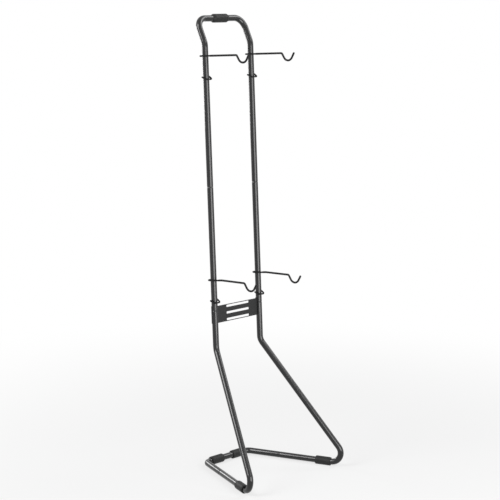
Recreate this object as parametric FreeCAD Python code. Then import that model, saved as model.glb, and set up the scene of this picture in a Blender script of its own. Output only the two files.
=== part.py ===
import FreeCAD, Part
import math
import os
from FreeCAD import Placement, Rotation, Vector

# Two tier leaning rack of bent steel tube, with four arms that slide on two uprights.
# Millimetres. +X is to the right, -Y is the front, where the arms point, +Z is up.
# Sizes of the frame are to tube centrelines, and heights are above the base tube's centre.

# Tube
tube_diameter = 30.0
tube_wall = 1.5

# Base, seen from above
rear_span = 286.0
front_span = 677.6
base_depth = 530.8
rear_bend_radius = 36.0
front_bend_radius = 50.0

# Legs and uprights
upright_spacing = 304.4
knee_height = 590.7
knee_setback = 83.2
knee_bend_radius = 60.0
lean_angle = 2.714

# Top, bent back towards the wall
top_bend_height = 2058.4
top_tilt_angle = 26.4
top_rise = 128.4
top_bend_radius = 75.0
top_corner_radius = 53.5

# Plug-in joints, the leg's a little above the cross plate's middle
rail_stub_length = 185.0
leg_joint_rise = 22.5
middle_joint_height = 1380.0
neck_length = 55.0
neck_play = 0.15
neck_wall = 1.5
neck_taper = 10.0
neck_chamfer = 1.0

# Spring buttons that lock the plug-in joints
button_diameter = 6.4
button_play = 0.1
button_stand_out = 0.4
button_edge_radius = 0.3
spring_width = 8.0
spring_thickness = 0.7
spring_play = 0.12
spring_arm_length = 12.0
spring_end_length = 6.0

# Cross plate, its ends rolled round the back half of each upright
plate_centre_height = 759.5
plate_height = 84.0
plate_thickness = 2.0
plate_play = 0.1
plate_fold_radius = 2.0
slot_length = 152.0
slot_height = 11.0
slot_corner_radius = 3.0
slot_pitch = 32.7
slot_count = 3

# Screws through the plate's rolled ends
screw_diameter = 4.8
screw_length = 12.0
screw_head_diameter = 9.0
screw_head_height = 2.8
screw_head_round = 1.6
screw_recess_diameter = 3.0
screw_recess_depth = 1.2
screw_play = 0.1
screw_inset = 8.0

# Rubber sleeves
sleeve_diameter = 42.0
sleeve_play = 0.1
sleeve_flat_depth = 0.8
top_sleeve_length = 102.0
top_sleeve_taper = 10.0
top_sleeve_end_wall = 1.6
base_sleeve_length = 80.0
base_sleeve_taper = 2.5
base_sleeve_end_wall = 3.4
rear_sleeve_offset = 72.0
front_sleeve_setback = 148.0

# Arms, each a bent rod that wraps its upright twice
rod_diameter = 8.0
rod_end_chamfer = 0.8
arm_play = 1.0
arm_offset = 13.0
jog_bend_radius = 16.0
back_bend_radius = 12.0
drop_bend_radius = 10.0
loop_bend_radius = 9.5
tail_bend_radius = 12.0
loop_drop = 101.4
loop_tilt_angle = 22.5
loop_side_angle = 32.3
tail_length = 6.5
upper_arm_height = 2000.0
lower_arm_height = 929.9

# Cradle at the front of each arm, a rounded V
cradle_start = 197.0
cradle_half_width = 39.5
cradle_half_angle = 33.0
cradle_radius = 31.0
cradle_entry_radius = 9.0
tip_drop = 1.5

# Vinyl cover on the arm
cover_wall = 0.8
cover_play = 0.05
cover_start = 22.0

# Worked out from the sizes above
tube_radius = tube_diameter / 2
bore_radius = tube_radius - tube_wall
neck_radius = bore_radius - neck_play
neck_bore_radius = neck_radius - neck_wall
plate_roll_radius = tube_radius + plate_play
plate_back_radius = plate_roll_radius + plate_thickness
upright_x = upright_spacing / 2
plate_fold_x = upright_x - plate_back_radius - plate_fold_radius
leg_joint_height = plate_centre_height + leg_joint_rise
screw_offset = plate_height / 2 - screw_inset
sleeve_radius = sleeve_diameter / 2
sleeve_bore_radius = tube_radius + sleeve_play
rod_radius = rod_diameter / 2
cover_bore_radius = rod_radius + cover_play
cover_radius = cover_bore_radius + cover_wall
wrap = tube_radius + arm_play + rod_radius
lean_slope = math.tan(math.radians(lean_angle))

X = Vector(1, 0, 0)
Y = Vector(0, 1, 0)
Z = Vector(0, 0, 1)
SIDES = {"left": -1, "right": 1}


def unit(vector):
    """The vector at length one."""
    return vector * (1 / vector.Length)


def bent_path(points, radii):
    """Straight runs through the points, joined by tangent arcs of the given radii."""
    edges = []
    start = points[0]
    for corner, after, radius in zip(points[1:-1], points[2:], radii):
        back = unit(start - corner)
        onward = unit(after - corner)
        half_angle = back.getAngle(onward) / 2
        reach = radius / math.tan(half_angle)
        bisector = unit(back + onward)
        centre = corner + bisector * (radius / math.sin(half_angle))
        arc_start = corner + back * reach
        arc_end = corner + onward * reach
        edges.append(Part.LineSegment(start, arc_start).toShape())
        edges.append(Part.Arc(arc_start, centre - bisector * radius, arc_end).toShape())
        start = arc_end
    edges.append(Part.LineSegment(start, points[-1]).toShape())
    return Part.Wire(edges)


def sweep(path, radius):
    """A round bar along a path."""
    first = path.Edges[0]
    along = first.tangentAt(first.FirstParameter)
    section = Part.Wire([Part.Circle(path.OrderedVertexes[0].Point, along, radius).toShape()])
    return path.makePipeShell([section], True, False)


def revolved(profile, place):
    """A solid of revolution from (radius, height) points, its axis put on the place's Z."""
    points = [Vector(radius, 0, height) for radius, height in profile]
    solid = Part.Face(Part.makePolygon(points + points[:1])).revolve(Vector(), Z, 360)
    solid.Placement = place
    return solid


def frame_at(origin, along, across):
    """A placement with Z along one direction and Y towards another."""
    z_axis = unit(along)
    y_axis = unit(across - z_axis * across.dot(z_axis))
    x_axis = y_axis.cross(z_axis)
    return Placement(origin, Rotation(x_axis, y_axis, z_axis, "ZYX"))


def upright_point(side, height):
    """A point on an upright's axis at a height above the base tube's centre."""
    return Vector(side * upright_x, (height - knee_height) * lean_slope - knee_setback, height)


def upright_frame(height, side=0):
    """The uprights' leaning frame: X across, Y square to them towards the back, Z along them."""
    return Placement(upright_point(side, height), Rotation(X, -lean_angle))


def base_corner(side, front):
    """A corner of the base, where two tube centrelines meet."""
    if front:
        return Vector(side * front_span / 2, -base_depth, 0)
    return Vector(side * rear_span / 2, 0, 0)


def rail_direction(side):
    """Along a side rail, from back to front."""
    return unit(base_corner(side, True) - base_corner(side, False))


def rail_joint(side):
    """Where the base's stub ends and the leg's rail begins."""
    return base_corner(side, False) + rail_direction(side) * rail_stub_length


def rail_joint_frame(side):
    """The rail joint's frame: Z towards the front, Y down, where the button stands out."""
    return frame_at(rail_joint(side), rail_direction(side), -Z)


def tube(path):
    """A hollow tube along a path."""
    return sweep(path, tube_radius).cut(sweep(path, bore_radius))


def neck(place):
    """The reduced end of a tube that plugs into the next one, from the joint along Z."""
    root_radius = tube_radius - tube_wall / 2
    profile = [
        (bore_radius, -neck_taper),
        (root_radius, -neck_taper),
        (root_radius, 0),
        (neck_radius, 0),
        (neck_radius, neck_length - neck_chamfer),
        (neck_radius - neck_chamfer, neck_length),
        (neck_bore_radius, neck_length),
        (neck_bore_radius, 0),
    ]
    return revolved(profile, place)


def button_hole(place):
    """The hole for a spring button, through one wall, at the middle of the neck."""
    radius = button_diameter / 2 + button_play
    hole = Part.makeCylinder(radius, tube_diameter, Vector(0, 0, neck_length / 2), Y)
    hole.Placement = place
    return hole


def snap_button(place):
    """A button on a hairpin leaf spring inside the neck, its head standing in both tubes' holes."""
    outer = math.sqrt((neck_bore_radius - spring_play) ** 2 - (spring_width / 2) ** 2)
    inner = outer - spring_thickness
    pin_height = neck_length / 2
    turn_height = pin_height - spring_arm_length
    end_height = pin_height + spring_end_length
    edges = []
    for reach in (outer, inner):
        low = Vector(0, 0, turn_height - reach)
        near = Vector(0, reach, turn_height)
        far = Vector(0, -reach, turn_height)
        edges.append(Part.LineSegment(Vector(0, reach, end_height), near).toShape())
        edges.append(Part.Arc(near, low, far).toShape())
        edges.append(Part.LineSegment(far, Vector(0, -reach, end_height)).toShape())
    for way in (1, -1):
        ends = (Vector(0, way * outer, end_height), Vector(0, way * inner, end_height))
        edges.append(Part.LineSegment(*ends).toShape())
    leaf = Part.Face(Part.Wire(Part.__sortEdges__(edges))).extrude(X * spring_width)
    leaf.translate(X * (-spring_width / 2))
    head_length = tube_radius + button_stand_out - inner
    head = Part.makeCylinder(button_diameter / 2, head_length, Vector(0, inner, pin_height), Y)
    rim = [e for e in head.Edges if abs(e.CenterOfMass.y - inner - head_length) < 0.01]
    head = head.makeFillet(button_edge_radius, rim)
    button = leaf.fuse(head).removeSplitter()
    button.Placement = place
    return button


def screw_places(side):
    """Frames of a side's two plate screws: Z along the screw towards the tube, at its axis."""
    places = []
    for step in (-screw_offset, screw_offset):
        local = Placement(Vector(0, 0, step), Rotation(X, 90))
        places.append(upright_frame(plate_centre_height, side).multiply(local))
    return places


def screw_hole(place):
    """The hole for a plate screw, from the tube's axis out through the plate."""
    hole = Part.makeCylinder(screw_diameter / 2 + screw_play, tube_diameter, Vector(), -Z)
    hole.Placement = place
    return hole


def plate_screw(place):
    """A pan head screw with a round recess, driven from the back."""
    seat = -plate_back_radius
    top = seat - screw_head_height
    head_radius = screw_head_diameter / 2
    head = Part.makeCylinder(head_radius, screw_head_height, Vector(0, 0, top), Z)
    rim = [e for e in head.Edges if abs(e.CenterOfMass.z - top) < 0.01]
    head = head.makeFillet(screw_head_round, rim)
    recess = Part.makeCylinder(screw_recess_diameter / 2, screw_recess_depth, Vector(0, 0, top), Z)
    shank_radius = screw_diameter / 2
    profile = [
        (0, seat),
        (shank_radius, seat),
        (shank_radius, seat + screw_length - shank_radius),
        (0, seat + screw_length),
    ]
    shank = revolved(profile, Placement())
    screw = head.cut(recess).fuse(shank).removeSplitter()
    screw.Placement = place
    return screw


def base_rear():
    """The base's rear U: the cross tube, two corner bends and two stubs with necks."""
    points = [rail_joint(-1), base_corner(-1, False), base_corner(1, False), rail_joint(1)]
    shape = tube(bent_path(points, [rear_bend_radius, rear_bend_radius]))
    for side in SIDES.values():
        place = rail_joint_frame(side)
        shape = shape.fuse(neck(place)).cut(button_hole(place))
    return shape.removeSplitter()


def leg(side):
    """A side rail, the tight front bend, the raking leg and the foot of the upright."""
    joint = upright_frame(leg_joint_height, side)
    points = [
        rail_joint(side),
        base_corner(side, True),
        upright_point(side, knee_height),
        upright_point(side, leg_joint_height),
    ]
    shape = tube(bent_path(points, [front_bend_radius, knee_bend_radius]))
    shape = shape.fuse(neck(joint)).cut(button_hole(rail_joint_frame(side)))
    for place in screw_places(side):
        shape = shape.cut(screw_hole(place))
    return shape.removeSplitter()


def upright(side):
    """The straight middle tube of an upright, with a neck at its top."""
    top = upright_frame(middle_joint_height, side)
    points = [upright_point(side, leg_joint_height), upright_point(side, middle_joint_height)]
    shape = tube(bent_path(points, []))
    shape = shape.fuse(neck(top)).cut(button_hole(top))
    for place in screw_places(side):
        shape = shape.cut(screw_hole(place))
    return shape.removeSplitter()


def top_corner(side):
    """Where a tilted side of the top meets the top bar, at their centrelines."""
    tilt = math.radians(top_tilt_angle)
    return upright_point(side, top_bend_height) + Vector(0, math.sin(tilt), math.cos(tilt)) * top_rise


def top_bar():
    """The upper ends of both uprights and the bar that joins them, bent back together."""
    points = [
        upright_point(-1, middle_joint_height),
        upright_point(-1, top_bend_height),
        top_corner(-1),
        top_corner(1),
        upright_point(1, top_bend_height),
        upright_point(1, middle_joint_height),
    ]
    radii = [top_bend_radius, top_corner_radius, top_corner_radius, top_bend_radius]
    shape = tube(bent_path(points, radii))
    for side in SIDES.values():
        shape = shape.cut(button_hole(upright_frame(middle_joint_height, side)))
    return shape


def plate_section():
    """The plate's outline seen along the uprights: a flat between two half-round ends."""
    half = math.sqrt(0.5)

    def fold(side, radius):
        """A quarter turn from the rolled end to the flat, about the fold's own centre."""
        start = Vector(side * (plate_fold_x + radius), 0, 0)
        middle = Vector(side * (plate_fold_x + radius * half), -radius * half, 0)
        end = Vector(side * plate_fold_x, -radius, 0)
        return Part.Arc(start, middle, end).toShape()

    edges = []
    for radius, roll in (
        (plate_fold_radius, plate_back_radius),
        (plate_fold_radius + plate_thickness, plate_roll_radius),
    ):
        for side in (-1, 1):
            far = Vector(side * (upright_x + roll), 0, 0)
            crown = Vector(side * upright_x, roll, 0)
            near = Vector(side * (upright_x - roll), 0, 0)
            edges.append(Part.Arc(far, crown, near).toShape())
            edges.append(fold(side, radius))
        flat = Part.LineSegment(Vector(-plate_fold_x, -radius, 0), Vector(plate_fold_x, -radius, 0))
        edges.append(flat.toShape())
    for side in (-1, 1):
        inside = Vector(side * (upright_x + plate_roll_radius), 0, 0)
        outside = Vector(side * (upright_x + plate_back_radius), 0, 0)
        edges.append(Part.LineSegment(inside, outside).toShape())
    return Part.Face(Part.Wire(Part.__sortEdges__(edges)))


def plate_slot(centre_z):
    """A block through the plate's flat, its four long edges rounded, to cut a slot with."""
    depth = 2 * (plate_fold_radius + plate_thickness)
    corner = Vector(-slot_length / 2, -depth, centre_z - slot_height / 2)
    block = Part.makeBox(slot_length, depth, slot_height, corner)
    long_edges = [e for e in block.Edges if abs(e.tangentAt(e.FirstParameter).y) > 0.99]
    return block.makeFillet(slot_corner_radius, long_edges)


def cross_plate():
    """The slotted plate, flat between the uprights and rolled round the back of each."""
    plate = plate_section().extrude(Z * plate_height)
    plate.translate(Z * (-plate_height / 2))
    for index in range(slot_count):
        centre = (index - (slot_count - 1) / 2) * slot_pitch
        plate = plate.cut(plate_slot(centre))
    plate.Placement = upright_frame(plate_centre_height)
    for side in SIDES.values():
        for place in screw_places(side):
            plate = plate.cut(screw_hole(place))
    return plate.removeSplitter()


def sleeve(place, length, taper, end_wall):
    """A rubber sleeve centred on the place's Z axis, with a small worn flat on its Y side."""
    half = length / 2
    profile = [
        (sleeve_bore_radius, -half),
        (sleeve_bore_radius + end_wall, -half),
        (sleeve_radius, taper - half),
        (sleeve_radius, half - taper),
        (sleeve_bore_radius + end_wall, half),
        (sleeve_bore_radius, half),
    ]
    shape = revolved(profile, Placement())
    corner = Vector(-sleeve_radius, sleeve_radius - sleeve_flat_depth, -half)
    flat = Part.makeBox(sleeve_diameter, sleeve_radius, length, corner)
    shape = shape.cut(flat)
    shape.Placement = place
    return shape


def top_sleeve():
    """The sleeve on the top bar, its flat towards the wall."""
    place = frame_at((top_corner(-1) + top_corner(1)) * 0.5, X, Y)
    return sleeve(place, top_sleeve_length, top_sleeve_taper, top_sleeve_end_wall)


def base_sleeve(centre, along):
    """A sleeve on a base tube, its flat on the floor."""
    place = frame_at(centre, along, -Z)
    return sleeve(place, base_sleeve_length, base_sleeve_taper, base_sleeve_end_wall)


def rear_sleeve(side):
    """A sleeve on the rear cross tube."""
    return base_sleeve(X * (side * rear_sleeve_offset), X)


def front_sleeve(side):
    """A sleeve on a side rail, just behind the front bend."""
    along = rail_direction(side)
    return base_sleeve(base_corner(side, True) - along * front_sleeve_setback, along)


def cradle_points():
    """From the straight of the arm to its tip, in the arm's frame, with the front at -Y."""
    slope = math.tan(math.radians(cradle_half_angle))
    middle = cradle_start + cradle_half_width
    depth = cradle_half_width / slope
    return [
        Vector(arm_offset, -cradle_start, 0),
        Vector(arm_offset, -middle, -depth),
        Vector(arm_offset, -middle - (depth - tip_drop) * slope, -tip_drop),
    ]


def jog_points():
    """The slanting run that brings the arm from the upright's near side to its own line."""
    diagonal = wrap * math.sqrt(2)
    return [
        Vector(-wrap, wrap - diagonal, 0),
        Vector(arm_offset, -arm_offset - diagonal, 0),
    ]


def arm_rod():
    """The rod from its tail, round the upright low and high, along the arm to its tip."""
    tilt = math.tan(math.radians(loop_tilt_angle))
    front_z = -loop_drop - wrap * tilt
    side_rise = 2 * wrap * math.tan(math.radians(loop_side_angle))
    points = [
        Vector(-wrap, tail_length, tail_length * tilt - loop_drop),
        Vector(-wrap, -wrap, front_z),
        Vector(wrap, -wrap, front_z),
        Vector(wrap, wrap, front_z + side_rise),
        Vector(wrap, wrap, 0),
        Vector(-wrap, wrap, 0),
    ]
    points += jog_points() + cradle_points()
    radii = [
        tail_bend_radius,
        loop_bend_radius,
        loop_bend_radius,
        drop_bend_radius,
        back_bend_radius,
        wrap,
        jog_bend_radius,
        cradle_entry_radius,
        cradle_radius,
    ]
    rod = sweep(bent_path(points, radii), rod_radius)
    tips = (points[0], points[-1])
    rims = [e for e in rod.Edges if min((e.CenterOfMass - tip).Length for tip in tips) < 0.01]
    return rod.makeChamfer(rod_end_chamfer, rims)


def arm_cover():
    """The vinyl cover, from just in front of the upright to its closed round end at the tip."""
    near, far = jog_points()
    slant = unit(far - near)
    nearest = Vector(-1, -1, 0) * (wrap * math.sqrt(0.5))
    points = [nearest + slant * cover_start, far] + cradle_points()
    path = bent_path(points, [jog_bend_radius, cradle_entry_radius, cradle_radius])
    skin = sweep(path, cover_radius).fuse(Part.makeSphere(cover_radius, points[-1]))
    tip_gap = unit(points[-1] - points[-2]) * cover_play
    hollow = sweep(path, cover_bore_radius)
    relief = Part.makeCylinder(cover_bore_radius, cover_play, points[-1], tip_gap)
    return skin.cut(hollow.fuse(relief)).removeSplitter()


def rack():
    """Every piece by its node name, in the working frame."""
    pieces = {"base_rear": base_rear(), "top_bar": top_bar(), "cross_plate": cross_plate()}
    pieces["top_sleeve"] = top_sleeve()
    rod = arm_rod()
    cover = arm_cover()
    screws = []
    buttons = []
    for name, side in SIDES.items():
        pieces[name + "_leg"] = leg(side)
        pieces[name + "_upright"] = upright(side)
        pieces["rear_" + name + "_sleeve"] = rear_sleeve(side)
        pieces["front_" + name + "_sleeve"] = front_sleeve(side)
        for tier, height in (("upper", upper_arm_height), ("lower", lower_arm_height)):
            for kind, shape in (("arm", rod), ("cover", cover)):
                piece = shape.copy()
                piece.Placement = upright_frame(height, side)
                pieces[tier + "_" + name + "_" + kind] = piece
        screws += [plate_screw(place) for place in screw_places(side)]
        buttons.append(snap_button(rail_joint_frame(side)))
        buttons.append(snap_button(upright_frame(middle_joint_height, side)))
    pieces["plate_screws"] = Part.makeCompound(screws)
    pieces["snap_buttons"] = Part.makeCompound(buttons)
    return pieces


def main():
    """Stands the rack on the floor with the origin under the middle of its box, and writes it."""
    pieces = rack()
    box = FreeCAD.BoundBox()
    for shape in pieces.values():
        box.add(shape.optimalBoundingBox(False, False))
    shift = Vector(-box.Center.x, -box.Center.y, -box.ZMin)
    print("shift", shift)
    os.makedirs("parts", exist_ok=True)
    for name, shape in pieces.items():
        moved = shape.copy()
        moved.translate(shift)
        moved.exportStep(os.path.join("parts", name + ".step"))
        print(name, len(moved.Solids), round(moved.Volume, 1), moved.isValid())


main()
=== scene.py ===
"""The look of a two tier leaning rack: bent tube, slotted plate, rubber sleeves, sliding rod arms.

Everything is in metres in the row's frame: +X to the right, -Y to the front, +Z up.
"""
import logging
import math
from collections.abc import Sequence
from dataclasses import dataclass, field
from enum import Enum
from functools import cache

import bmesh
import bpy
import numpy as np
from mathutils import Matrix, Vector


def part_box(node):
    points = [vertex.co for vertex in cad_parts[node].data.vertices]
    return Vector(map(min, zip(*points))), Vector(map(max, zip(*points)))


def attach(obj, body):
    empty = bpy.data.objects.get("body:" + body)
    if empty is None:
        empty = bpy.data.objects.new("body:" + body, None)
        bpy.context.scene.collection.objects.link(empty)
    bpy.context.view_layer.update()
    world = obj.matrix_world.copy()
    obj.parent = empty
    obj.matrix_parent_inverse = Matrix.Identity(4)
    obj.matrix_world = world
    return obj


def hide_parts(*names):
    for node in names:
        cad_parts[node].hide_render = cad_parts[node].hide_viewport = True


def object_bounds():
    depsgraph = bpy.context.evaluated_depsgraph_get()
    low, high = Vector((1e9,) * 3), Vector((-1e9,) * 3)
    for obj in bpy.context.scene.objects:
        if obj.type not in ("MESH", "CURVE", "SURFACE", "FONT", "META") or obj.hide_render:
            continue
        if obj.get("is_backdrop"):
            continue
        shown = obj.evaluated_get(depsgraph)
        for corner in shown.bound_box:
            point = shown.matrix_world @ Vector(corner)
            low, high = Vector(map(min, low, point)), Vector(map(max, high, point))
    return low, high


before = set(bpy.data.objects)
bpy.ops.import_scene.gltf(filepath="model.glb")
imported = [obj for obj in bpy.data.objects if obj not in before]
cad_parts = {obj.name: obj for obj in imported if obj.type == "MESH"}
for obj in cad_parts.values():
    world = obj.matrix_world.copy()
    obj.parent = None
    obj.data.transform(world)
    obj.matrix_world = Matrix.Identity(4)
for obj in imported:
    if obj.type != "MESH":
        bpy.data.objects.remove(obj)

Array = np.ndarray
Pair = tuple[float, float]
Point = tuple[float, float, float]
log = logging.getLogger("rack")

MM = 0.001
ACROSS, BACK, UP = np.eye(3)
# The body of all but the arms
STAND = "stand"

# From a run's end to the ring that guards its shading
SUPPORT_RING = 2.0 * MM
# Decimals of a metre that are kept in distances along a path
DECIMALS = 7
TINY = 10.0**-DECIMALS
# Points of a mesh that are nearer than this are one
MERGE_DISTANCE = 0.002 * MM
# Edges that turn by more than this are shaded sharp
SHARP_ANGLE = math.radians(32)


class Side(Enum):
    """The two sides of the rack, as signs of X."""

    LEFT = -1
    RIGHT = 1


class Tier(Enum):
    """The two tiers of arms, with the height of each above the base tube's centre."""

    UPPER = 2000.0 * MM
    LOWER = 929.9 * MM


class Slot(Enum):
    """The record's material slots."""

    TUBE = "tube_paint"
    PLATE = "plate_paint"
    SCREW = "black_screw"
    SPRING = "spring_steel"
    SLEEVE = "sleeve_rubber"
    ROD = "arm_paint"
    COVER = "cover_vinyl"


def word(member: Enum) -> str:
    """A member's name in lower case, as the nodes have it."""
    return member.name.lower()


# Shapes


def unit(vector: Array) -> Array:
    """The vector, or each row of vectors, at length one."""
    return vector / np.linalg.norm(vector, axis=-1, keepdims=True)


def ring_angles(count: int) -> Array:
    """Angles in even steps round one turn."""
    return np.linspace(0, math.tau, count, endpoint=False)


def circle(angles: Array) -> Array:
    """The unit circle's points at these angles, one row each."""
    return np.column_stack([np.cos(angles), np.sin(angles)])


def level(distances: Array, radius: float) -> Array:
    """A profile's points at these distances and one radius."""
    return np.column_stack([distances, np.full(len(distances), radius)])


def turned(vector: Array, axis: Array, angle: Array) -> Array:
    """A vector turned about a unit axis by an array of angles in radians, by Rodrigues' formula."""
    cos, sin = np.cos(angle)[:, None], np.sin(angle)[:, None]
    return vector * cos + np.cross(axis, vector) * sin + axis * (axis @ vector) * (1 - cos)


def rounding(centre: Pair, radius: float, start: float, end: float, steps: int = 5) -> Array:
    """Points of distance and radius on an arc, used to round a profile's corner.

    Start and end are in degrees, counted from the distance axis to the radius axis.
    """
    return np.array(centre) + radius * circle(np.radians(np.linspace(start, end, steps)))


@dataclass
class Span:
    """One straight run or one arc of a path.

    Attributes:
        begin: distance along the path where it starts.
        point: its first point.
        tangent: its first direction.
        side: the sideways vector at its start, square to the tangent.
        axis: what an arc turns about, or None for a run.
    """

    begin: float
    length: float
    point: Array
    tangent: Array
    side: Array
    axis: Array | None = None
    radius: float = math.inf

    def at(self, distance: Array) -> tuple[Array, Array, Array]:
        """Points, tangents and sideways vectors, one row each, at distances along the whole path.

        A run adds tangent times distance. An arc turns the spoke from its centre.
        """
        along = distance - self.begin
        if self.axis is None:
            point = self.point + along[:, None] * self.tangent
            steady = np.ones_like(point)
            return point, steady * self.tangent, steady * self.side
        inward = np.cross(self.axis, self.tangent)
        angle = along / self.radius
        point = self.point + self.radius * (inward - turned(inward, self.axis, angle))
        return point, turned(self.tangent, self.axis, angle), turned(self.side, self.axis, angle)


@dataclass
class BentPath:
    """A centreline of straight runs joined by tangent arcs.

    Attributes:
        corners: the points where the runs would meet.
        radii: the bend radius at each inner corner.
        facing: the direction that angle zero of a section faces at the start, as near as may be.
    """

    corners: Array
    radii: Sequence[float]
    facing: Array
    spans: list[Span] = field(init=False, default_factory=list)

    def __post_init__(self) -> None:
        """Cuts the path into spans, and carries the sideways vector along without twist."""
        corners = np.asarray(self.corners, float)
        directions = unit(np.diff(corners, axis=0))
        side = unit(self.facing - directions[0] * (self.facing @ directions[0]))
        point, begin = corners[0], 0.0
        bends = zip(corners[1:], directions, directions[1:], self.radii)
        for corner, before, after, radius in bends:
            turn = math.acos(float(np.clip(before @ after, -1, 1)))
            length = float(np.linalg.norm(corner - point)) - radius * math.tan(turn / 2)
            self.spans.append(Span(begin, length, point, before, side))
            begin += length
            axis = unit(np.cross(before, after))
            arc = Span(begin, radius * turn, point + before * length, before, side, axis, radius)
            self.spans.append(arc)
            begin += arc.length
            ends, _, sides = arc.at(np.array([begin]))
            point, side = ends[0], sides[0]
        length = float(np.linalg.norm(corners[-1] - point))
        self.spans.append(Span(begin, length, point, directions[-1], side))

    @property
    def length(self) -> float:
        """The whole length of the centreline."""
        return self.spans[-1].begin + self.spans[-1].length

    def at(self, distance: Array) -> tuple[Array, Array, Array]:
        """Points, sideways and upward vectors at distances, going straight on past either end."""
        starts = np.array([span.begin for span in self.spans])
        which = np.clip(np.searchsorted(starts, distance, side="right") - 1, 0, None)
        point, tangent, side = (np.zeros((len(distance), 3)) for _ in range(3))
        for index, span in enumerate(self.spans):
            mine = which == index
            point[mine], tangent[mine], side[mine] = span.at(distance[mine])
        return point, side, np.cross(tangent, side)

    def stations(self, begin: float, end: float, turn_step: float) -> Array:
        """Distances where rings are needed: round each arc by turn_step, and at each run's ends.

        A run has a second ring close to each end, so that the rounding or the bend next to
        it doesn't pull the shading of the whole run.
        """
        found = [np.array([begin, end])]
        for span in self.spans:
            guard = min(SUPPORT_RING, span.length / 4)
            places = np.array([0, guard, span.length - guard, span.length])
            if span.axis is not None:
                steps = math.ceil(span.length / span.radius / turn_step)
                places = span.length * np.linspace(0, 1, steps + 1)
            found.append(span.begin + places)
        distances = np.unique(np.round(np.concatenate(found), DECIMALS))
        return distances[(distances >= begin - TINY) & (distances <= end + TINY)]


@dataclass
class Surface:
    """A grid of points, rows by columns, with quads between neighbours."""

    points: Array
    rows_close: bool = False
    columns_close: bool = True

    def faces(self) -> Array:
        """The quads as four point numbers each, counted row by row."""
        rows, columns = self.points.shape[:2]
        numbers = np.arange(rows * columns).reshape(rows, columns)
        if self.rows_close:
            numbers = np.vstack([numbers, numbers[:1]])
        if self.columns_close:
            numbers = np.hstack([numbers, numbers[:, :1]])
        corners = (numbers[:-1, :-1], numbers[1:, :-1], numbers[1:, 1:], numbers[:-1, 1:])
        return np.stack(corners, axis=-1).reshape(-1, 4)


def swept(path: BentPath, profile: Array, segments: int, radius: Array | None = None) -> Surface:
    """Carries a profile round a path, and closes it on itself unless it starts at a pole.

    The point is the centreline at the row's distance, plus the row's radius times
    the sideways vector by the angle's cosine and the upward vector by its sine.

    Args:
        path: the centreline.
        profile: rows of distance along the path and radius.
        segments: how many points go round.
        radius: the radius at each row and angle, where the rows aren't all round.
    """
    point, side, up = path.at(profile[:, 0])
    if radius is None:
        radius = np.repeat(profile[:, 1:], segments, axis=1)
    spokes = circle(ring_angles(segments)) @ np.stack([side, up], axis=1)
    return Surface(point[:, None] + radius[..., None] * spokes, rows_close=profile[0, 1] > 0)


def build_mesh(name: str, surfaces: Sequence[Surface]) -> bpy.types.Mesh:
    """Joins surfaces in one smooth mesh, with each closed one's faces turned outwards.

    Double points at seams and poles are merged, and what has no area is dropped.
    """
    points, faces, count = [], [], 0
    for surface in surfaces:
        flat = surface.points.reshape(-1, 3)
        quads = surface.faces()
        a, b, c, d = (flat[corner] for corner in quads.T)
        volume = np.einsum("ij,ij->", np.cross(c - a, d - b), (a + b + c + d))
        faces.append((quads[:, ::-1] if volume < 0 else quads) + count)
        points.append(flat)
        count += len(flat)
    mesh = bpy.data.meshes.new(name)
    mesh.from_pydata(np.concatenate(points), [], np.concatenate(faces))
    work = bmesh.new()
    work.from_mesh(mesh)
    bmesh.ops.remove_doubles(work, verts=work.verts, dist=MERGE_DISTANCE)
    bmesh.ops.dissolve_degenerate(work, edges=work.edges, dist=MERGE_DISTANCE / 2)
    work.to_mesh(mesh)
    work.free()
    mesh.shade_smooth()
    mesh.set_sharp_from_angle(angle=SHARP_ANGLE)
    return mesh


def add_object(name: str, data: bpy.types.ID) -> bpy.types.Object:
    """Adds an object with this data to the scene."""
    made = bpy.data.objects.new(name, data)
    bpy.context.scene.collection.objects.link(made)
    return made


# Finishes


@dataclass
class Wire:
    """A shader socket that does sums: each operator adds the Math node that it stands for."""

    graph: "Graph"
    socket: bpy.types.NodeSocket

    def math(self, operation: str, first: "Wire | float", second: "Wire | float") -> "Wire":
        """Adds a Math node of two values and gives its result."""
        return self.graph.node("Math", {0: first, 1: second}, operation=operation)["Value"]

    def __add__(self, other: "Wire | float") -> "Wire":
        """This plus other."""
        return self.math("ADD", self, other)

    def __mul__(self, other: "Wire | float") -> "Wire":
        """This times other."""
        return self.math("MULTIPLY", self, other)

    def __sub__(self, other: "Wire | float") -> "Wire":
        """This less other."""
        return self.math("SUBTRACT", self, other)

    def __rsub__(self, other: float) -> "Wire":
        """Other less this."""
        return self.math("SUBTRACT", other, self)

    __radd__ = __add__
    __rmul__ = __mul__


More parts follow.
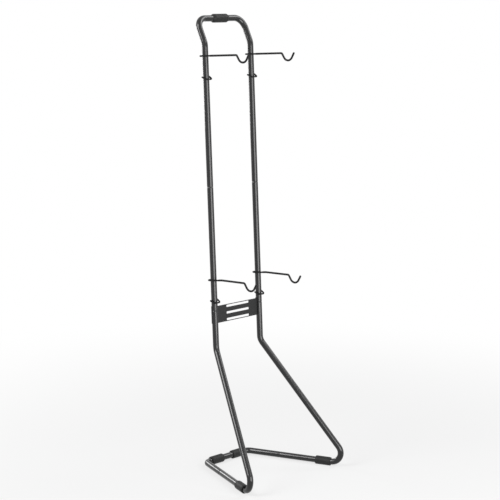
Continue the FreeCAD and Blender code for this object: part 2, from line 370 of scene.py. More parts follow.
class Graph:
    """A node tree with one method that makes every node."""

    def __init__(self, tree: bpy.types.NodeTree) -> None:
        """Empties the tree."""
        self.tree = tree
        tree.nodes.clear()

    def node(self, kind: str, inputs: dict | None = None, **settings: object) -> dict[str, Wire]:
        """Makes a node.

        Args:
            kind: the node's type, without its first word, ShaderNode.
            inputs: values or wires for its sockets, by name, or by number where names repeat.
            settings: its settings, set first.

        Returns:
            Its outputs that are in use, by name.
        """
        made = self.tree.nodes.new("ShaderNode" + kind)
        for name, value in settings.items():
            setattr(made, name, value)
        sockets = [socket for socket in made.inputs if socket.enabled]
        for name, value in (inputs or {}).items():
            socket = sockets[name] if isinstance(name, int) else made.inputs[name]
            if isinstance(value, Wire):
                self.tree.links.new(value.socket, socket)
            else:
                socket.default_value = value
        return {out.name: Wire(self, out) for out in made.outputs if out.enabled}

    def place(self) -> Wire:
        """The point on the object, in metres."""
        return self.node("TexCoord")["Object"]

    def noise(self, feature: float, detail: float = 2.0, roughness: float = 0.5) -> Wire:
        """Smooth noise from 0 to 1 with features about this many metres apart."""
        inputs = {"Vector": self.place(), "Scale": 1 / feature}
        inputs |= {"Detail": detail, "Roughness": roughness}
        return self.node("TexNoise", inputs)["Fac"]

    def grains(self, feature: float) -> Wire:
        """Distance to the nearest of scattered points about this many metres apart."""
        return self.node("TexVoronoi", {"Vector": self.place(), "Scale": 1 / feature})["Distance"]

    def step(self, wire: Wire, low: float, high: float) -> Wire:
        """A ramp from 0 at low to 1 at high, level beyond them."""
        return self.node("MapRange", {"Value": wire, "From Min": low, "From Max": high})["Result"]


@dataclass(frozen=True)
class Finish:
    """What the finishes share. Their further lengths are the distances between features.

    Attributes:
        colour: its mean colour.
        specular: its mirror strength, where 0.5 is plain varnish.
        depth: the height that its bumps' range of 0 to 1 stands for.
        spread: its darkest and lightest tone, as shares of the colour.
    """

    name: str
    colour: Point
    roughness: float
    specular: float = 0.5
    depth: float = 0.008 * MM
    spread: Pair = (0.86, 1.14)
    metallic: float = 0.0

    def dress(self, graph: Graph) -> None:
        """Makes the material's nodes. Each finish has its own."""
        raise NotImplementedError

    def coat(self, graph: Graph, tone: Wire, unevenness: Wire, height: Wire) -> None:
        """Joins what changes over the surface to its shader.

        Args:
            graph: the material's nodes.
            tone: from 0 for the darkest tone to 1 for the lightest.
            unevenness: what is added to the roughness.
            height: the bumps, from 0 to 1.
        """
        dark, light = ((*(part * share for part in self.colour), 1) for share in self.spread)
        mix = graph.node("Mix", {0: tone, 1: dark, 2: light}, data_type="RGBA")
        bump = graph.node("Bump", {"Height": height, "Distance": self.depth})
        sockets = {
            "Base Color": mix["Result"],
            "Roughness": self.roughness + unevenness,
            "Normal": bump["Normal"],
            "Specular IOR Level": self.specular,
            "Metallic": self.metallic,
        }
        shader = graph.node("BsdfPrincipled", sockets)
        graph.node("OutputMaterial", {"Surface": shader["BSDF"]})


@dataclass(frozen=True)
class PowderCoat(Finish):
    """Baked powder paint: a fine orange peel, slightly uneven in gloss, with a faint mottle."""

    peel: float = 2.2 * MM
    mottle: float = 45 * MM
    haze: float = 9 * MM

    def dress(self, graph: Graph) -> None:
        """Makes the paint's nodes."""
        peel = graph.noise(self.peel)
        speck = graph.grains(self.peel / 3)
        mottle = graph.noise(self.mottle, 4.0, 0.6)
        haze = graph.noise(self.haze, 3.0)
        tone = graph.step(mottle * 0.7 + haze * 0.3, 0.3, 0.7)
        unevenness = (haze - 0.5) * 0.08 + (peel - 0.5) * 0.04
        self.coat(graph, tone, unevenness, peel * 0.85 + speck * 0.15)


@dataclass(frozen=True)
class MouldedRubber(Finish):
    """Moulded rubber: a fine spark-eroded grain, chalky in places, and nearly matte."""

    specular: float = 0.22
    depth: float = 0.06 * MM
    spread: Pair = (0.88, 1.2)
    grain: float = 0.7 * MM
    pore: float = 1.1 * MM
    bloom: float = 22 * MM

    def dress(self, graph: Graph) -> None:
        """Makes the rubber's nodes."""
        grain = graph.noise(self.grain, 3.0, 0.6)
        pores = graph.grains(self.pore)
        bloom = graph.noise(self.bloom, 4.0, 0.6)
        unevenness = (bloom - 0.5) * 0.16 + (grain - 0.5) * 0.08
        self.coat(graph, graph.step(bloom, 0.35, 0.7), unevenness, grain * 0.6 + pores * 0.4)


@dataclass(frozen=True)
class DippedVinyl(Finish):
    """Soft vinyl from a dip tank: smooth, a little wavy where it ran, with tiny pinholes."""

    specular: float = 0.2
    depth: float = 0.09 * MM
    spread: Pair = (0.8, 1.25)
    run: float = 14 * MM
    skin: float = 1.3 * MM
    pinhole: float = 4 * MM

    def dress(self, graph: Graph) -> None:
        """Makes the vinyl's nodes."""
        run = graph.noise(self.run)
        skin = graph.noise(self.skin)
        pinholes = graph.step(graph.grains(self.pinhole), 0.02, 0.09)
        unevenness = (run - 0.5) * 0.14 + (1 - pinholes) * 0.2
        self.coat(graph, run, unevenness, run * 0.55 + skin * 0.15 + pinholes * 0.3)


@dataclass(frozen=True)
class PlatedSteel(Finish):
    """Zinc plated steel with a fine turned grain and faint cloudy patches."""

    depth: float = 0.01 * MM
    spread: Pair = (0.8, 1.15)
    metallic: float = 1.0
    cloud: float = 3 * MM
    grain: float = 0.25 * MM

    def dress(self, graph: Graph) -> None:
        """Makes the plating's nodes."""
        cloud = graph.noise(self.cloud, 4.0, 0.6)
        self.coat(graph, cloud, (cloud - 0.5) * 0.2, graph.noise(self.grain, 3.0))


@dataclass(frozen=True)
class StudioWhite:
    """The floor: plain and pale, with the object's shadow, fading to a white ground further off.

    Attributes:
        glow: how much of the floor near the object is plain white.
        near: distance from the middle where the fade to white starts.
        far: distance where it ends.
    """

    tone: float = 0.7
    glow: float = 0.7
    near: float = 0.8
    far: float = 3.5
    name: str = "studio_white"

    def dress(self, graph: Graph) -> None:
        """Makes the floor's nodes: matte white that gives way to white light for the camera."""
        lit = graph.node("BsdfDiffuse", {"Color": (*[self.tone] * 3, 1)})["BSDF"]
        glow = graph.node("Emission", {"Color": (1, 1, 1, 1)})["Emission"]
        away = graph.node("VectorMath", {0: graph.place()}, operation="LENGTH")["Value"]
        limits = {"Value": away, "From Min": self.near, "From Max": self.far, "To Min": self.glow}
        fade = graph.node("MapRange", limits, interpolation_type="SMOOTHSTEP")["Result"]
        mixed = graph.node("MixShader", {0: fade * seen_directly(graph), 1: lit, 2: glow})
        graph.node("OutputMaterial", {"Surface": mixed["Shader"]})


def seen_directly(graph: Graph) -> Wire:
    """One for rays from the camera, a mirror or glass, nought for rays that carry light about."""
    path = graph.node("LightPath")
    both = path["Is Camera Ray"].math("MAXIMUM", path["Is Camera Ray"], path["Is Glossy Ray"])
    return both.math("MAXIMUM", both, path["Is Transmission Ray"])


FINISHES = {
    Slot.TUBE: PowderCoat("tube_powder_coat", (0.005, 0.0052, 0.0056), 0.19),
    Slot.PLATE: PowderCoat("plate_powder_coat", (0.008, 0.0083, 0.0085), 0.55, 0.35, peel=1.2 * MM),
    Slot.ROD: PowderCoat("rod_powder_coat", (0.004, 0.004, 0.0043), 0.55, 0.18, peel=1 * MM),
    Slot.SLEEVE: MouldedRubber("moulded_sleeve", (0.014, 0.0142, 0.0142), 0.52),
    Slot.COVER: DippedVinyl("dipped_cover", (0.005, 0.005, 0.0053), 0.5),
    Slot.SCREW: PlatedSteel("black_zinc", (0.1, 0.1, 0.105), 0.42),
    Slot.SPRING: PlatedSteel("bright_zinc", (0.62, 0.62, 0.64), 0.3),
}


@cache
def material(finish: Finish | StudioWhite) -> bpy.types.Material:
    """The finish's material, made the first time that it is asked for."""
    made = bpy.data.materials.new(finish.name)
    made.use_nodes = True
    finish.dress(Graph(made.node_tree))
    return made


def add_piece(mesh: bpy.types.Mesh, node: str, slot: Slot, body: str = STAND) -> bpy.types.Object:
    """Adds a piece to the rack in place of a plain node, with its slot's finish.

    Args:
        mesh: the piece's mesh, in the row's frame.
        node: the node that it stands for.
        slot: the record's material slot.
        body: the body that it moves with.
    """
    piece = add_object(mesh.name, mesh)
    mesh.materials.append(material(FINISHES[slot]))
    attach(piece, body)
    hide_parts(node)
    log.info("%s: %d faces, for %s on %s", piece.name, len(mesh.polygons), node, body)
    return piece


# The rack


@dataclass(frozen=True)
class Layout:
    """The rack's driving sizes, to tube centrelines, with heights above the base tube's centre."""

    tube_radius: float = 15.0 * MM
    tube_wall: float = 1.5 * MM
    rear_span: float = 286.0 * MM
    front_span: float = 677.6 * MM
    base_depth: float = 530.8 * MM
    rear_bend: float = 36.0 * MM
    front_bend: float = 50.0 * MM
    upright_spacing: float = 304.4 * MM
    knee_height: float = 590.7 * MM
    knee_setback: float = 83.2 * MM
    knee_bend: float = 60.0 * MM
    lean: float = math.radians(2.714)
    top_bend_height: float = 2058.4 * MM
    top_tilt: float = math.radians(26.4)
    top_rise: float = 128.4 * MM
    top_bend: float = 75.0 * MM
    top_corner_bend: float = 53.5 * MM
    rail_stub: float = 185.0 * MM
    plate_centre: float = 759.5 * MM
    leg_joint_rise: float = 22.5 * MM
    middle_joint: float = 1380.0 * MM

    def datum(self) -> Array:
        """Where the rear cross tube's centre lies in the row's frame, read from its node."""
        low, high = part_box("base_rear")
        return np.array([0.0, high.y - self.tube_radius, low.z + self.tube_radius])

    def upright(self, side: Side, height: float) -> Array:
        """A point on an upright's axis."""
        back = (height - self.knee_height) * math.tan(self.lean) - self.knee_setback
        return self.datum() + (side.value * self.upright_spacing / 2, back, height)

    def upright_axes(self) -> Array:
        """The uprights' own axes as rows: across, square to them to the back, and along them."""
        cos, sin = math.cos(self.lean), math.sin(self.lean)
        return np.array([[1, 0, 0], [0, cos, -sin], [0, sin, cos]])

    def rear_corner(self, side: Side) -> Array:
        """Where the rear cross tube meets a side rail."""
        return self.datum() + (side.value * self.rear_span / 2, 0, 0)

    def front_corner(self, side: Side) -> Array:
        """Where a side rail meets its raking leg."""
        return self.datum() + (side.value * self.front_span / 2, -self.base_depth, 0)

    def rail(self, side: Side) -> Array:
        """Along a side rail, from back to front."""
        return unit(self.front_corner(side) - self.rear_corner(side))

    def rail_joint(self, side: Side) -> Array:
        """Where the base's stub ends and the leg's rail begins."""
        return self.rear_corner(side) + self.rail(side) * self.rail_stub

    def top_corner(self, side: Side) -> Array:
        """Where a tilted side of the top meets the top bar."""
        rise = BACK * math.sin(self.top_tilt) + UP * math.cos(self.top_tilt)
        return self.upright(side, self.top_bend_height) + rise * self.top_rise


@dataclass
class TubeFrame:
    """The bent steel tube: a rear U, two legs, two straight uprights and the bent top."""

    layout: Layout
    neck_length: float = 55.0 * MM
    neck_play: float = 0.15 * MM
    neck_wall: float = 1.5 * MM
    neck_taper: float = 10.0 * MM
    lip: float = 0.7 * MM
    shoulder: float = 5.0 * MM
    shoulder_rings: int = 9
    bend_step: float = math.radians(2.5)
    segments: int = 72

    def tube_end(self, is_neck: bool) -> Array:
        """One end of a tube, from its outside to its bore, as distance past the end and radius.

        A plain mouth is rounded outside. A neck, which plugs into the next tube, is drawn down over
        a shoulder, half a wave of a cosine from the outside to the bore, and chamfered at its tip.
        """
        outer = self.layout.tube_radius
        bore = outer - self.layout.tube_wall
        if not is_neck:
            lip, ease = self.lip, self.lip / 2
            rim = rounding((-lip, outer - lip), lip, 90, 0)
            return np.concatenate([rim, rounding((-ease, bore + ease), ease, 0, -90)])
        outside, tip = bore - self.neck_play, self.neck_length
        inside, chamfer = outside - self.neck_wall, self.neck_wall / 2
        part = np.linspace(0, 1, self.shoulder_rings)
        shoulder = bore + (outer - bore) * (1 + np.cos(math.pi * part)) / 2
        rim = np.column_stack([(part - 1) * self.shoulder, shoulder])
        neck = [(0, outside), (tip - chamfer, outside), (tip, outside - chamfer), (tip, inside)]
        return np.concatenate([rim, neck, [(0, inside), (-self.neck_taper, bore)]])

    def tube(self, name: str, path: BentPath, necks: tuple[bool, bool] = (False, True)) -> None:
        """Builds one tube with its bore, and dresses it.

        Args:
            name: the node that the tube stands for.
            path: its centreline.
            necks: whether its start and its end are necks.
        """
        start, end = map(self.tube_end, necks)
        start[:, 0] *= -1
        end[:, 0] += path.length
        outer = path.stations(start[0, 0], end[0, 0], self.bend_step)[1:-1]
        inner = path.stations(start[-1, 0], end[-1, 0], self.bend_step)[-2:0:-1]
        outside, bore = level(outer, start[0, 1]), level(inner, end[-1, 1])
        surface = swept(path, np.concatenate([start[::-1], outside, end, bore]), self.segments)
        add_piece(build_mesh(name + "_tube", [surface]), name, Slot.TUBE)

    def build(self) -> None:
        """Builds all six tubes."""
        lay = self.layout
        left, right = Side
        rear = [lay.rail_joint(left), *map(lay.rear_corner, Side), lay.rail_joint(right)]
        self.tube("base_rear", BentPath(rear, [lay.rear_bend] * 2, UP), (True, True))
        for side in Side:
            knee = lay.upright(side, lay.knee_height)
            seam = lay.upright(side, lay.plate_centre + lay.leg_joint_rise)
            leg = [lay.rail_joint(side), lay.front_corner(side), knee, seam]
            path = BentPath(leg, [lay.front_bend, lay.knee_bend], UP)
            self.tube(word(side) + "_leg", path)
            path = BentPath([seam, lay.upright(side, lay.middle_joint)], [], BACK)
            self.tube(word(side) + "_upright", path)
        heights = (lay.middle_joint, lay.top_bend_height)
        top = [lay.upright(left, height) for height in heights]
        top += map(lay.top_corner, Side)
        top += [lay.upright(right, height) for height in heights[::-1]]
        radii = [lay.top_bend, *[lay.top_corner_bend] * 2, lay.top_bend]
        self.tube("top_bar", BentPath(top, radii, BACK), (False, False))


@dataclass
class CrossPlate:
    """The slotted plate between the uprights, its ends rolled round the back half of each tube."""

    layout: Layout
    thickness: float = 2.0 * MM
    play: float = 0.1 * MM
    fold: float = 2.0 * MM
    height: float = 84.0 * MM
    slot_length: float = 152.0 * MM
    slot_height: float = 11.0 * MM
    slot_corner: float = 3.0 * MM
    slot_pitch: float = 32.7 * MM
    slot_count: int = 3
    edge: float = 0.35 * MM
    edge_angle: float = math.radians(50)
    end_rows: int = 9
    corner_steps: int = 7
    fold_steps: int = 9
    roll_steps: int = 49

    @property
    def roll(self) -> float:
        """Radius of the rolled ends, at the middle of the sheet."""
        return self.layout.tube_radius + self.play + self.thickness / 2

    @property
    def bend(self) -> float:
        """Radius of the fold between flat and roll, at the middle of the sheet."""
        return self.fold + self.thickness / 2

    @property
    def fold_x(self) -> float:
        """Half the width of the flat."""
        return self.layout.upright_spacing / 2 - self.roll - self.bend

    @property
    def rows(self) -> Array:
        """Heights of the points up the rolled ends, about the plate's middle."""
        return np.linspace(-0.5, 0.5, self.end_rows) * self.height

    def rounded_slot(self, centre: float) -> Array:
        """The outline of a slot about a height, as points across and up, anticlockwise."""
        across = self.slot_length / 2 - self.slot_corner
        rise = self.slot_height / 2 - self.slot_corner
        corners = [(across, rise), (-across, rise), (-across, -rise), (across, -rise)]
        arcs = [
            rounding((x, centre + z), self.slot_corner, start, start + 90, self.corner_steps)
            for (x, z), start in zip(corners, (0, 90, 180, 270))
        ]
        return np.concatenate(arcs)

    def flat(self, work: bmesh.types.BMesh) -> None:
        """Fills the flat, in the plane of the sheet's middle, leaving the slots open."""
        right = level(self.rows, self.fold_x)[:, ::-1]
        centres = (np.arange(self.slot_count) - (self.slot_count - 1) / 2) * self.slot_pitch
        edges = []
        for outline in (np.concatenate([right, -right]), *map(self.rounded_slot, centres)):
            keep = np.linalg.norm(outline - np.roll(outline, 1, axis=0), axis=1) > TINY
            ring = [work.verts.new((x, -self.bend, z)) for x, z in outline[keep]]
            edges += [work.edges.new(pair) for pair in zip(ring, ring[1:] + ring[:1])]
        bmesh.ops.triangle_fill(work, edges=edges, use_beauty=True)

    def rolled_end(self, side: Side) -> Surface:
        """An end of the sheet in its own frame: a quarter turn of fold and a half turn of roll."""
        fold = rounding((self.fold_x, 0), self.bend, -90, 0, self.fold_steps)
        roll = rounding((self.layout.upright_spacing / 2, 0), self.roll, 180, 0, self.roll_steps)
        section = np.concatenate([fold, roll[1:]])
        across, up = np.meshgrid(section[:, 0] * side.value, self.rows, indexing="ij")
        back = np.broadcast_to(section[:, 1:], across.shape)
        return Surface(np.stack([across, back, up], axis=-1), columns_close=False)

    def sheet(self) -> bpy.types.Mesh:
        """The middle of the sheet, flat and rolled ends in one mesh, in its place."""
        lay = self.layout
        mesh = bpy.data.meshes.new("cross_plate_sheet")
        work = bmesh.new()
        self.flat(work)
        for side in Side:
            end = self.rolled_end(side)
            points = [work.verts.new(point) for point in end.points.reshape(-1, 3)]
            for quad in end.faces():
                work.faces.new([points[number] for number in quad])
        bmesh.ops.remove_doubles(work, verts=work.verts, dist=MERGE_DISTANCE)
        bmesh.ops.recalc_face_normals(work, faces=work.faces)
        work.to_mesh(mesh)
        work.free()
        centre = lay.upright(Side.RIGHT, lay.plate_centre) * (0, 1, 1)
        mesh.transform(Matrix.Translation(centre) @ Matrix(lay.upright_axes().T).to_4x4())
        mesh.shade_smooth()
        return mesh

    def build(self) -> None:
        """Builds the plate, gives it its thickness and eased edges, and dresses it."""
        piece = add_piece(self.sheet(), "cross_plate", Slot.PLATE)
        solid = piece.modifiers.new("thickness", "SOLIDIFY")
        solid.thickness = self.thickness
        solid.offset = 0
        solid.use_even_offset = True
        bevel = piece.modifiers.new("eased_edges", "BEVEL")
        bevel.width = self.edge
        bevel.segments = 2
        bevel.limit_method = "ANGLE"
        bevel.angle_limit = self.edge_angle
        bevel.harden_normals = True


@dataclass
class Lock:
    """A button's place on a tube's axis, the way that it stands out, and along the tube."""

    centre: Array
    outward: Array
    along: Array


@dataclass
class Fasteners:
    """The screws through the plate's rolled ends, and the spring buttons in the plug-in joints."""

    layout: Layout
    plate: CrossPlate
    screw_inset: float = 8.0 * MM
    head_radius: float = 4.5 * MM
    head_height: float = 2.8 * MM
    head_round: float = 1.6 * MM
    head_steps: int = 8
    socket: float = 1.25 * MM
    socket_depth: float = 1.2 * MM
    shank_radius: float = 2.4 * MM
    shank_length: float = 12.0 * MM
    screw_segments: int = 48
    button_radius: float = 3.2 * MM
    button_out: float = 0.4 * MM
    button_round: float = 0.35 * MM
    button_in: float = 4.0 * MM
    button_along: float = 27.5 * MM
    button_segments: int = 40
    spring_reach: float = 10.7 * MM
    spring_width: float = 8.0 * MM
    spring_thickness: float = 0.7 * MM
    spring_arm: float = 12.0 * MM
    spring_end: float = 6.0 * MM
    spring_steps: int = 25

    def screw(self, seat: Array, inward: Array) -> Surface:
        """A pan head screw with a hexagon socket, closed at both poles.

        The socket's radius at an angle is its corner's, by the cosine of 30 degrees over the
        cosine of the angle from the nearest flat's middle. All other rows are round.

        Args:
            seat: where the head meets the plate, on the screw's axis.
            inward: the direction in which it is driven.
        """
        head, top, ease = self.head_radius, self.head_height, self.head_round
        floor = self.socket_depth - top
        bowl = [(floor, 0), (floor, self.socket), (-top, self.socket)]
        crown = rounding((ease - top, head - ease), ease, 180, 90, self.head_steps)
        shank, length = self.shank_radius, self.shank_length
        stem = [(0, head), (0, shank), (length - shank, shank), (length, 0)]
        profile = np.array([*bowl, *crown, *stem])
        sixth = math.pi / 3
        angle = ring_angles(self.screw_segments) + sixth / 2
        radius = np.repeat(profile[:, 1:], self.screw_segments, axis=1)
        radius[1:3] *= math.cos(sixth / 2) / np.cos(angle % sixth - sixth / 2)
        path = BentPath([seat, seat + inward * length], [], ACROSS)
        return swept(path, profile, self.screw_segments, radius)

    def button(self, lock: Lock) -> Surface:
        """A spring button's head, standing just proud of the tube, closed at both poles."""
        ease = self.button_round
        top = self.layout.tube_radius + self.button_out
        rim = rounding((top - ease, self.button_radius - ease), ease, 90, 0)
        root = self.layout.tube_radius - self.button_in
        profile = np.array([(root, 0), (root, self.button_radius), *rim, (top, 0)])
        path = BentPath([lock.centre, lock.centre + lock.outward * top], [], lock.along)
        return swept(path, profile, self.button_segments)

    def leaf(self, lock: Lock) -> Surface:
        """The hairpin leaf spring that carries a button inside the joint.

        Its line runs down one side of the bore, round half a circle and up the other side.
        The section is a rectangle square to that line, closed by a pole at each end.
        """
        turn = np.pad(np.linspace(0, math.pi, self.spring_steps), 2, "edge")
        facing = circle(-turn)
        line = facing * self.spring_reach - (0, self.spring_arm)
        line[:2, 1] = line[-2:, 1] = self.spring_end
        corners = np.array([(-1, -1), (-1, 1), (1, 1), (1, -1)]) / 2
        section = np.tile(corners * (self.spring_width, self.spring_thickness), (len(line), 1, 1))
        section[[0, -1]] = 0
        flat = line[:, None] + section[..., 1:] * facing[:, None]
        across = section[..., :1] * np.cross(lock.outward, lock.along)
        return Surface(lock.centre + flat @ np.array([lock.outward, lock.along]) + across)

    def build(self) -> None:
        """Builds the screws and the buttons, each kind as one piece, and dresses them."""
        lay = self.layout
        _, back, along = lay.upright_axes()
        seat = back * (self.plate.roll + self.plate.thickness / 2)
        offset = along * (self.plate.height / 2 - self.screw_inset)
        screws, buttons = [], []
        for side in Side:
            middle = lay.upright(side, lay.plate_centre) + seat
            screws += [self.screw(middle + step, -back) for step in (-offset, offset)]
            for joint, outward, way in (
                (lay.upright(side, lay.middle_joint), back, along),
                (lay.rail_joint(side), -UP, lay.rail(side)),
            ):
                lock = Lock(joint + way * self.button_along, outward, way)
                buttons += [self.button(lock), self.leaf(lock)]
        add_piece(build_mesh("plate_screw_set", screws), "plate_screws", Slot.SCREW)
        add_piece(build_mesh("snap_button_set", buttons), "snap_buttons", Slot.SPRING)


@dataclass
class Sleeve:
    """A moulded rubber sleeve on a tube, worn flat where it rests on the floor or the wall.

    Attributes:
        along: the tube's direction.
        resting: the direction of what it rests on.
        taper: length of its tapered ends.
        end_wall: its thickness at the very ends.
        blend: the rounding between taper and barrel.
    """

    layout: Layout
    node: str
    centre: Array
    along: Array
    resting: Array
    length: float
    taper: float
    end_wall: float
    radius: float = 21.0 * MM
    play: float = 0.1 * MM
    flat_depth: float = 0.8 * MM
    blend: float = 1.2 * MM
    blend_reach: float = 3.0
    blend_drop: float = 0.28
    nose_share: float = 0.45
    barrel_rows: int = 8
    segments: int = 96

    def profile(self) -> Array:
        """The section: bore, nose, taper and half the barrel, mirrored, as distance and radius."""
        half = self.length / 2
        bore = self.layout.tube_radius + self.play
        tip = bore + self.end_wall
        nose = min(self.end_wall, self.blend) * self.nose_share
        slope = math.atan2(self.radius - tip, self.taper)
        end = rounding((nose - half, tip - nose), nose, 180, 90 + math.degrees(slope) / 2)
        bend = self.blend * math.tan(slope / 2) * self.blend_reach
        drop = bend * math.tan(slope)
        corner = self.taper - half
        start, middle = self.radius - drop, self.radius - drop * self.blend_drop
        shoulder = [(corner - bend, start), (corner, middle), (corner + bend, self.radius)]
        left = np.array([(-half, bore), *end, *shoulder])
        barrel = np.linspace(corner + bend, -corner - bend, self.barrel_rows)[1:-1]
        return np.concatenate([left, level(barrel, self.radius), left[::-1] * (-1, 1)])

    def build(self) -> None:
        """Builds the sleeve and dresses it.

        The flat limits the radius to its distance over the cosine of the angle from resting.
        """
        path = BentPath([self.centre, self.centre + self.along * self.length], [], self.resting)
        profile = self.profile()
        flat = self.radius - self.flat_depth
        limit = flat / np.maximum(np.cos(ring_angles(self.segments)), TINY)
        surface = swept(path, profile, self.segments, np.minimum(profile[:, 1:], limit))
        add_piece(build_mesh(self.node + "_rubber", [surface]), self.node, Slot.SLEEVE)


@dataclass
class SleeveSet:
    """The five sleeves: one on the top bar, two on the rear cross tube, one on each side rail.

    Each shape is a sleeve's length, taper and end wall.
    """

    layout: Layout
    top_shape: Point = (102.0 * MM, 10.0 * MM, 1.6 * MM)
    base_shape: Point = (80.0 * MM, 2.5 * MM, 3.4 * MM)
    rear_offset: float = 72.0 * MM
    front_setback: float = 148.0 * MM

    def build(self) -> None:
        """Builds all five."""
        lay = self.layout
        top = (lay.top_corner(Side.LEFT) + lay.top_corner(Side.RIGHT)) / 2
        Sleeve(lay, "top_sleeve", top, ACROSS, BACK, *self.top_shape).build()
        for side in Side:
            rail = lay.rail(side)
            rear = lay.datum() + ACROSS * side.value * self.rear_offset
            front = lay.front_corner(side) - rail * self.front_setback
            for end, centre, along in (("rear", rear, ACROSS), ("front", front, rail)):
                node = f"{end}_{word(side)}_sleeve"
                Sleeve(lay, node, centre, along, -UP, *self.base_shape).build()


@dataclass
class Arm:
    """A bent rod that wraps its upright twice and runs forward to a cradle, in its vinyl cover.

    Attributes:
        offset: from the upright's axis across to the arm's own line.
        dip_lip: how much thicker than its bore the cover is where the dip ended.
        dip_lead: the distance over which it grows to its full thickness.
        swell: how far its thickness wanders, with two wave lengths mixed.
    """

    layout: Layout
    side: Side
    tier: Tier
    rod: float = 4.0 * MM
    rod_chamfer: float = 0.8 * MM
    chamfer_share: float = 0.3
    play: float = 1.0 * MM
    offset: float = 13.0 * MM
    jog_bend: float = 16.0 * MM
    back_bend: float = 12.0 * MM
    drop_bend: float = 10.0 * MM
    loop_bend: float = 9.5 * MM
    tail_bend: float = 12.0 * MM
    loop_drop: float = 101.4 * MM
    loop_tilt: float = math.radians(22.5)
    side_tilt: float = math.radians(32.3)
    tail: float = 6.5 * MM
    cradle_start: float = 197.0 * MM
    cradle_half_width: float = 39.5 * MM
    cradle_half_angle: float = math.radians(33)
    cradle_bend: float = 31.0 * MM
    entry_bend: float = 9.0 * MM
    tip_drop: float = 1.5 * MM
    cover_wall: float = 0.8 * MM
    cover_play: float = 0.05 * MM
    cover_start: float = 22.0 * MM
    cover_rings: int = 90
    mouth_edge: float = 0.1 * MM
    dip_lip: float = 0.12 * MM
    dip_lead: float = 2.2 * MM
    swell: float = 0.05 * MM
    swell_lengths: Pair = (31 * MM, 11 * MM)
    dome_steps: int = 12
    bend_step: float = math.radians(4)
    segments: int = 32

    @property
    def wrap(self) -> float:
        """Radius from the upright's axis to the rod's centre."""
        return self.layout.tube_radius + self.play + self.rod

    def bent(self, points: Sequence[Point], radii: list[float], facing: Array) -> BentPath:
        """A path in the row's frame, from points of the arm's own frame, which leans."""
        origin = self.layout.upright(self.side, self.tier.value)
        radii = [*radii, self.jog_bend, self.entry_bend, self.cradle_bend]
        return BentPath(np.array(points) @ self.layout.upright_axes() + origin, radii, facing)

    def forward(self) -> list[Point]:
        """From beside the upright to the arm's own line, and on through the cradle to the tip."""
        diagonal = self.wrap * math.sqrt(2)
        slope = math.tan(self.cradle_half_angle)
        middle = self.cradle_start + self.cradle_half_width
        depth = self.cradle_half_width / slope
        wrap, line, tip = self.wrap, self.offset, self.tip_drop
        jog = [(-wrap, wrap - diagonal, 0), (line, -line - diagonal, 0)]
        cradle = [(line, -self.cradle_start, 0), (line, -middle, -depth)]
        return [*jog, *cradle, (line, -middle - (depth - tip) * slope, -tip)]

    def rod_path(self) -> BentPath:
        """The rod from its tail, round the upright low and high, and along the arm to its tip."""
        wrap, drop = self.wrap, self.loop_drop
        tilt = math.tan(self.loop_tilt)
        front = -drop - wrap * tilt
        rise = front + 2 * wrap * math.tan(self.side_tilt)
        tail = (-wrap, self.tail, self.tail * tilt - drop)
        low = [tail, (-wrap, -wrap, front), (wrap, -wrap, front), (wrap, wrap, rise)]
        high = [(wrap, wrap, 0), (-wrap, wrap, 0)]
        radii = [self.tail_bend, *[self.loop_bend] * 2, self.drop_bend, self.back_bend, wrap]
        return self.bent(low + high + self.forward(), radii, ACROSS)

    def cover_path(self) -> BentPath:
        """The cover from just in front of the upright to the tip."""
        near, far, *cradle = np.array(self.forward())
        nearest = np.array([-1, -1, 0]) * self.wrap * math.sqrt(0.5)
        return self.bent([nearest + unit(far - near) * self.cover_start, far, *cradle], [], UP)

    def rod_profile(self, path: BentPath) -> Array:
        """The rod with its two chamfered ends."""
        chamfer = self.rod_chamfer
        inset = chamfer * self.chamfer_share
        head = [(0, 0), (0, self.rod - chamfer), (inset, self.rod - inset)]
        tail = [(path.length - s, r) for s, r in head[::-1]]
        wall = level(path.stations(chamfer, path.length - chamfer, self.bend_step), self.rod)
        return np.concatenate([head, wall, tail])

    def cover_profile(self, path: BentPath) -> Array:
        """The cover's bore, mouth, outside and tip.

        The outside is a little thinner at its open end, where the dip line is, swells gently
        along its length where the vinyl ran, and closes in a dome at the tip.
        """
        bore = self.rod + self.cover_play
        thin = bore + self.dip_lip
        length = path.length
        bends = path.stations(0, length, self.bend_step)
        even = np.linspace(0, length, self.cover_rings)
        stations = np.unique(np.round(np.concatenate([bends, even]), DECIMALS - 1))
        lead = 1 - np.exp(-stations / self.dip_lead)
        long, short = (stations / wave for wave in self.swell_lengths)
        swell = self.swell * np.sin(long) * np.sin(short + self.side.value)
        radius = thin + (bore + self.cover_wall - thin) * lead + swell
        end = length + self.cover_play
        inside = [(end, 0.0), (end, bore), *level(stations[::-1], bore)]
        mouth = [(0.0, bore), (0.0, bore + self.mouth_edge)]
        outside = np.column_stack([stations, radius])[1:]
        dome = rounding((length, 0), float(radius[-1]), 90, 0, self.dome_steps)[1:]
        return np.concatenate([inside, mouth, outside, dome])

    def build(self) -> None:
        """Builds the rod and its cover on the arm's own sliding body, and dresses them."""
        name = f"{word(self.tier)}_{word(self.side)}"
        rod, cover = self.rod_path(), self.cover_path()
        for path, profile, mesh_name, node, slot in (
            (rod, self.rod_profile(rod), "_arm_rod", "_arm", Slot.ROD),
            (cover, self.cover_profile(cover), "_arm_cover", "_cover", Slot.COVER),
        ):
            mesh = build_mesh(name + mesh_name, [swept(path, profile, self.segments)])
            add_piece(mesh, name + node, slot, name + "_hanger")


# The studio


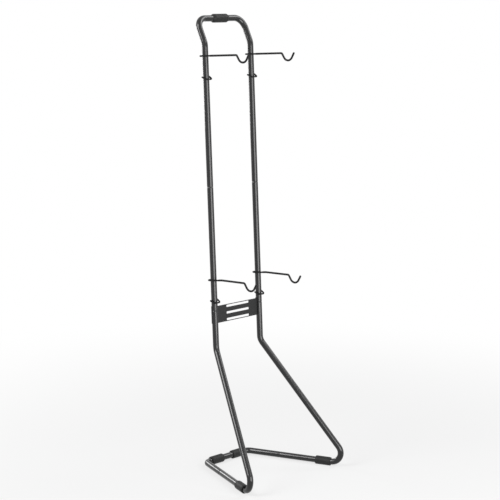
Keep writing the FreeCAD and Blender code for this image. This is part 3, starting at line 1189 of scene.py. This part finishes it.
@dataclass
class Softbox:
    """A large soft lamp that faces the rack, with its power in watts.

    Attributes:
        bearing: its direction in degrees: 0 is the front and 90 the right.
        elevation: its height above the horizon in degrees.
        distance: from the rack's middle.
    """

    name: str
    bearing: float
    elevation: float
    distance: float
    size: Pair
    power: float

    def build(self, target: Vector) -> None:
        """Hangs the lamp and points it at the rack."""
        a, e = math.radians(self.bearing), math.radians(self.elevation)
        away = Vector((math.sin(a) * math.cos(e), -math.cos(a) * math.cos(e), math.sin(e)))
        data = bpy.data.lights.new(self.name, "AREA")
        data.shape = "RECTANGLE"
        data.size, data.size_y = self.size
        data.energy = self.power
        lamp = add_object(self.name, data)
        lamp.location = target + away * self.distance
        lamp.rotation_euler = away.to_track_quat("Z", "Y").to_euler()


@dataclass
class Studio:
    """The camera, the lamps, the surround and the pale floor."""

    layout: Layout
    camera_from_datum: Point = (-5.1046, -5.2164, 2.3072)
    bearing: float = -45.289
    elevation: float = 9.776
    focal_pixels: float = 1509.9
    photo_pixels: float = 500.0
    sensor: float = 36.0
    view_end: float = 200.0
    floor_radius: float = 40.0
    floor_rings: int = 24
    floor_segments: int = 64
    surround: float = 0.16
    lamps: tuple[Softbox, ...] = (
        Softbox("front", -10, 1, 3.8, (3.0, 2.3), 125.0),
        Softbox("front_high", 8, 40, 6.0, (2.8, 1.5), 40.0),
        Softbox("right", 66, 40, 8.0, (2.9, 4.2), 200.0),
        Softbox("left", -108, 35, 8.0, (3.4, 5.0), 480.0),
        Softbox("back", -176, 9, 4.2, (1.5, 0.9), 40.0),
    )

    def camera(self) -> None:
        """Sets up the camera where the photograph's was."""
        data = bpy.data.cameras.new("camera")
        data.sensor_width = self.sensor
        data.lens = self.focal_pixels / self.photo_pixels * self.sensor
        data.clip_end = self.view_end
        camera = add_object("camera", data)
        camera.location = self.layout.datum() + self.camera_from_datum
        camera.rotation_euler = (math.radians(90 - self.elevation), 0, math.radians(self.bearing))
        bpy.context.scene.camera = camera

    def floor(self) -> None:
        """Lays a round floor: rings whose radius grows as the square of their number."""
        rings = np.linspace(0, 1, self.floor_rings) ** 2 * self.floor_radius
        plan = rings[:, None, None] * circle(ring_angles(self.floor_segments))
        mesh = build_mesh("studio_floor", [Surface(np.pad(plan, [(0, 0), (0, 0), (0, 1)]))])
        floor = add_object("studio_floor", mesh)
        mesh.materials.append(material(StudioWhite()))
        floor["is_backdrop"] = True

    def world(self) -> None:
        """A plain grey surround that the camera and reflections see as white."""
        world = bpy.data.worlds.new("surround")
        bpy.context.scene.world = world
        world.use_nodes = True
        graph = Graph(world.node_tree)
        strength = seen_directly(graph) * (1 - self.surround) + self.surround
        light = graph.node("Background", {"Color": (1, 1, 1, 1), "Strength": strength})
        graph.node("OutputWorld", {"Surface": light["Background"]})

    def build(self) -> None:
        """Sets up all of the studio."""
        self.camera()
        self.floor()
        self.world()
        low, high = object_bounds()
        for lamp in self.lamps:
            lamp.build((low + high) / 2)
        bpy.context.scene.view_settings.view_transform = "Standard"


def corners(box: tuple[Vector, Vector]) -> list[list[float]]:
    """A box's two corners as plain numbers."""
    return [list(corner) for corner in box]


def main() -> None:
    """Builds the studio and the rack."""
    logging.basicConfig(level=logging.INFO, format="%(message)s")
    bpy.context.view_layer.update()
    layout = Layout()
    plate = CrossPlate(layout)
    Studio(layout).build()
    TubeFrame(layout).build()
    plate.build()
    Fasteners(layout, plate).build()
    SleeveSet(layout).build()
    for tier in Tier:
        for side in Side:
            Arm(layout, side, tier).build()


if __name__ == "__main__":
    main()
